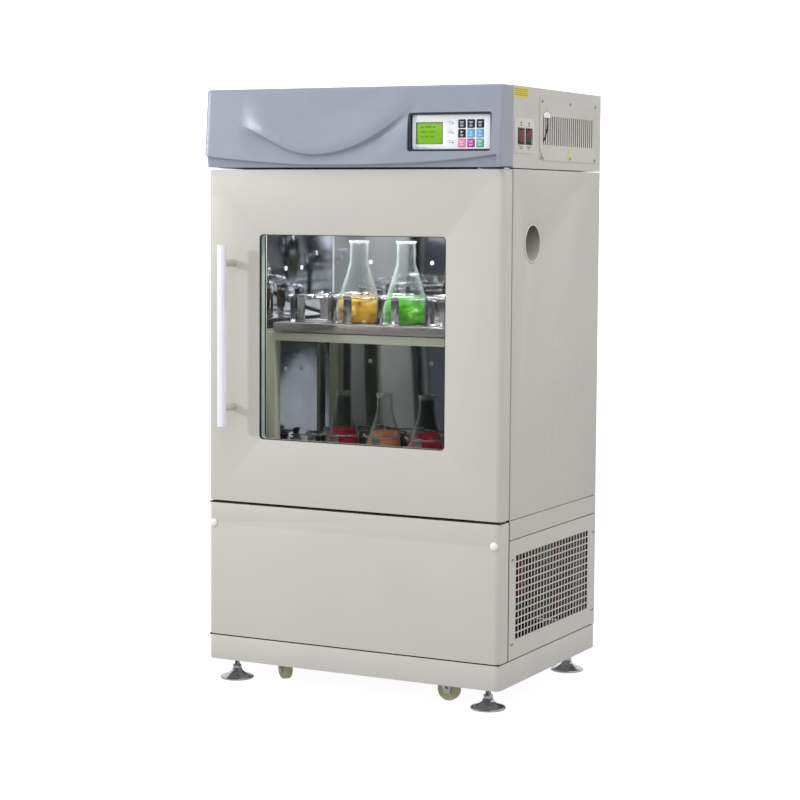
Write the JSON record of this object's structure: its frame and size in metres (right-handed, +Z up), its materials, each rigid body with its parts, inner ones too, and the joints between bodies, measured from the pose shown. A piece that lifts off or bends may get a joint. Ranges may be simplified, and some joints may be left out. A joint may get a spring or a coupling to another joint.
{
  "type": "incubated orbital shaker",
  "caption": "Floor-standing incubated orbital shaker: glazed door over a polished chamber, stacked orbiting trays with spring flask clamps, machinery bay, levelling feet and casters.",
  "frame": {"origin": "on the floor, under the middle of the whole machine, handle included", "axes": "+X towards the machine's right side with the access port, -Y towards the door, +Z up"},
  "size_m": [0.7268, 0.588, 1.324],
  "materials": {
    "paint_warm_grey": "satin powder coat",
    "paint_bay_grey": "satin powder coat",
    "fascia_blue_grey": "satin moulded plastic",
    "bezel_navy": "smooth",
    "plate_white": "smooth overlay",
    "lcd_green": "display window",
    "key_black": "satin",
    "key_blue": "satin",
    "key_pink": "satin",
    "key_magenta": "satin",
    "key_green": "satin",
    "switch_white": "satin",
    "rocker_red": "glossy",
    "rocker_green": "glossy",
    "foam": "foam",
    "stainless_mirror": "mirror polished",
    "stainless_satin": "satin",
    "spring_steel": "bright",
    "frame_paint": "satin paint",
    "port_beige": "satin",
    "door_liner": "satin",
    "glass_clear": "clear",
    "seal_black": "matt",
    "handle_white": "smooth",
    "zinc": "bright zinc",
    "machined_steel": "machined",
    "bed_steel": "primer",
    "belt_rubber": "matt",
    "motor_black": "satin",
    "compressor_black": "gloss",
    "coil_metal": "finned",
    "fan_black": "satin",
    "fan_metal": "pressed",
    "wheel_ivory": "nylon",
    "screw_metal": "plated"
  },
  "bodies": {
    "cabinet": {"base_frame": "paint_warm_grey", "machine_bay_frame": "paint_bay_grey", "lower_front_cover": "paint_warm_grey", "side_grille_panels": "paint_warm_grey", "panel_fasteners": "screw_metal", "cabinet_shell": "paint_warm_grey", "insulation": "foam", "chamber_liner": "stainless_mirror", "top_housing": "paint_warm_grey", "header_fascia": "fascia_blue_grey", "control_bezel": "bezel_navy", "control_plate": "plate_white", "lcd_display": "lcd_green", "switch_plate": "switch_white", "header_vent_panel": "paint_warm_grey", "port_tube": "port_beige", "hinge_brackets": "zinc", "drive_bed": "bed_steel", "drive_belt": "belt_rubber", "drive_motor": "motor_black", "compressor": "compressor_black", "condenser": "coil_metal"},
    "door": {"door_shell": "paint_warm_grey", "door_inner_panel": "door_liner", "door_glass": "glass_clear", "door_seals": "seal_black", "door_handle": "handle_white"},
    "main_crank": {"main_crank": "machined_steel"},
    "shaking_rack": {"shaking_frame": "frame_paint", "upper_tray": "stainless_satin", "lower_tray": "stainless_satin", "flask_clamps": "spring_steel", "flasks": "glass_clear"},
    "motor_rotor": {"motor_pulley": "machined_steel"},
    "idler_left": {"idler_crank_left": "machined_steel"},
    "idler_right": {"idler_crank_right": "machined_steel"},
    "condenser_fan": {"condenser_fan": "fan_black"},
    "circulation_fan": {"circulation_fan": "fan_metal"},
    "caster_left": {"caster_fork_left": "zinc"},
    "caster_right": {"caster_fork_right": "zinc"},
    "wheel_front_left": {"caster_wheel_front_left": "wheel_ivory"},
    "wheel_front_right": {"caster_wheel_front_right": "wheel_ivory"},
    "wheel_rear_left": {"caster_wheel_rear_left": "wheel_ivory"},
    "wheel_rear_right": {"caster_wheel_rear_right": "wheel_ivory"},
    "rocker_power": {"rocker_power": "rocker_red"},
    "rocker_lamp": {"rocker_lamp": "rocker_green"},
    "port_plug": {"port_plug": "port_beige"},
    "key_mode": {"key_mode": "key_black"},
    "key_set": {"key_set": "key_black"},
    "key_shift": {"key_shift": "key_black"},
    "key_right": {"key_right": "key_black"},
    "key_up": {"key_up": "key_blue"},
    "key_down": {"key_down": "key_blue"},
    "key_light": {"key_light": "key_pink"},
    "key_stop": {"key_stop": "key_magenta"},
    "key_start": {"key_start": "key_green"},
    "foot_front_left": {"foot_front_left": "zinc"},
    "foot_front_right": {"foot_front_right": "zinc"},
    "foot_rear_left": {"foot_rear_left": "zinc"},
    "foot_rear_right": {"foot_rear_right": "zinc"}
  },
  "joints": [
    {"name": "door_hinge", "type": "hinge", "parent": "cabinet", "child": "door", "pos_m": [0.348, -0.2155, 0.78], "axis": [0, 0, 1], "range_deg": [0, 115]},
    {"name": "crank_spin", "type": "hinge", "parent": "cabinet", "child": "main_crank", "pos_m": [0, 0.092, 0.4], "axis": [0, 0, 1], "continuous": true},
    {"name": "rack_orbit", "type": "hinge", "parent": "main_crank", "child": "shaking_rack", "pos_m": [0, 0.105, 0.475], "axis": [0, 0, 1], "continuous": true},
    {"name": "idler_left_spin", "type": "hinge", "parent": "cabinet", "child": "idler_left", "pos_m": [-0.17, -0.048, 0.41], "axis": [0, 0, 1], "continuous": true},
    {"name": "idler_right_spin", "type": "hinge", "parent": "cabinet", "child": "idler_right", "pos_m": [0.17, -0.048, 0.41], "axis": [0, 0, 1], "continuous": true},
    {"name": "motor_spin", "type": "hinge", "parent": "cabinet", "child": "motor_rotor", "pos_m": [-0.19, 0.092, 0.36], "axis": [0, 0, 1], "continuous": true},
    {"name": "condenser_fan_spin", "type": "hinge", "parent": "cabinet", "child": "condenser_fan", "pos_m": [-0.2, 0.052, 0.206], "axis": [1, 0, 0], "continuous": true},
    {"name": "circulation_fan_spin", "type": "hinge", "parent": "cabinet", "child": "circulation_fan", "pos_m": [0, 0.022, 1.1], "axis": [0, 0, 1], "continuous": true},
    {"name": "caster_left_swivel", "type": "hinge", "parent": "cabinet", "child": "caster_left", "pos_m": [-0.193, -0.168, 0.07], "axis": [0, 0, 1], "continuous": true},
    {"name": "wheel_front_left_roll", "type": "hinge", "parent": "caster_left", "child": "wheel_front_left", "pos_m": [-0.20679, -0.15643, 0.0275], "axis": [-0.6428, -0.766, 0], "continuous": true},
    {"name": "wheel_rear_left_roll", "type": "hinge", "parent": "cabinet", "child": "wheel_rear_left", "pos_m": [-0.206, 0.214, 0.0275], "axis": [1, 0, 0], "continuous": true},
    {"name": "caster_right_swivel", "type": "hinge", "parent": "cabinet", "child": "caster_right", "pos_m": [0.193, -0.168, 0.07], "axis": [0, 0, 1], "continuous": true},
    {"name": "wheel_front_right_roll", "type": "hinge", "parent": "caster_right", "child": "wheel_front_right", "pos_m": [0.211, -0.168, 0.0275], "axis": [0, 1, 0], "continuous": true},
    {"name": "wheel_rear_right_roll", "type": "hinge", "parent": "cabinet", "child": "wheel_rear_right", "pos_m": [0.206, 0.214, 0.0275], "axis": [1, 0, 0], "continuous": true},
    {"name": "rocker_power_tilt", "type": "hinge", "parent": "cabinet", "child": "rocker_power", "pos_m": [0.355, -0.156, 1.219], "axis": [0, 1, 0], "range_deg": [0, 9]},
    {"name": "rocker_lamp_tilt", "type": "hinge", "parent": "cabinet", "child": "rocker_lamp", "pos_m": [0.355, -0.115, 1.219], "axis": [0, 1, 0], "range_deg": [-9, 0]},
    {"name": "port_plug_pull", "type": "slide", "parent": "cabinet", "child": "port_plug", "axis": [1, 0, 0], "range_m": [0, 0.065]},
    {"name": "key_mode_press", "type": "slide", "parent": "cabinet", "child": "key_mode", "axis": [0, 1, 0], "range_m": [0, 0.0008], "stiffness_N_per_m": 600},
    {"name": "key_set_press", "type": "slide", "parent": "cabinet", "child": "key_set", "axis": [0, 1, 0], "range_m": [0, 0.0008], "stiffness_N_per_m": 600},
    {"name": "key_shift_press", "type": "slide", "parent": "cabinet", "child": "key_shift", "axis": [0, 1, 0], "range_m": [0, 0.0008], "stiffness_N_per_m": 600},
    {"name": "key_right_press", "type": "slide", "parent": "cabinet", "child": "key_right", "axis": [0, 1, 0], "range_m": [0, 0.0008], "stiffness_N_per_m": 600},
    {"name": "key_up_press", "type": "slide", "parent": "cabinet", "child": "key_up", "axis": [0, 1, 0], "range_m": [0, 0.0008], "stiffness_N_per_m": 600},
    {"name": "key_down_press", "type": "slide", "parent": "cabinet", "child": "key_down", "axis": [0, 1, 0], "range_m": [0, 0.0008], "stiffness_N_per_m": 600},
    {"name": "key_light_press", "type": "slide", "parent": "cabinet", "child": "key_light", "axis": [0, 1, 0], "range_m": [0, 0.0008], "stiffness_N_per_m": 600},
    {"name": "key_stop_press", "type": "slide", "parent": "cabinet", "child": "key_stop", "axis": [0, 1, 0], "range_m": [0, 0.0008], "stiffness_N_per_m": 600},
    {"name": "key_start_press", "type": "slide", "parent": "cabinet", "child": "key_start", "axis": [0, 1, 0], "range_m": [0, 0.0008], "stiffness_N_per_m": 600},
    {"name": "foot_front_left_level", "type": "slide", "parent": "cabinet", "child": "foot_front_left", "axis": [0, 0, 1], "range_m": [-0.012, 0.012]},
    {"name": "foot_front_right_level", "type": "slide", "parent": "cabinet", "child": "foot_front_right", "axis": [0, 0, 1], "range_m": [-0.012, 0.012]},
    {"name": "foot_rear_left_level", "type": "slide", "parent": "cabinet", "child": "foot_rear_left", "axis": [0, 0, 1], "range_m": [-0.012, 0.012]},
    {"name": "foot_rear_right_level", "type": "slide", "parent": "cabinet", "child": "foot_rear_right", "axis": [0, 0, 1], "range_m": [-0.012, 0.012]}
  ],
  "couplings": [
    {"joint": "rack_orbit", "follows": "crank_spin", "ratio": -1},
    {"joint": "idler_left_spin", "follows": "crank_spin", "ratio": 1},
    {"joint": "idler_right_spin", "follows": "crank_spin", "ratio": 1},
    {"joint": "motor_spin", "follows": "crank_spin", "ratio": 2.5}
  ]
}
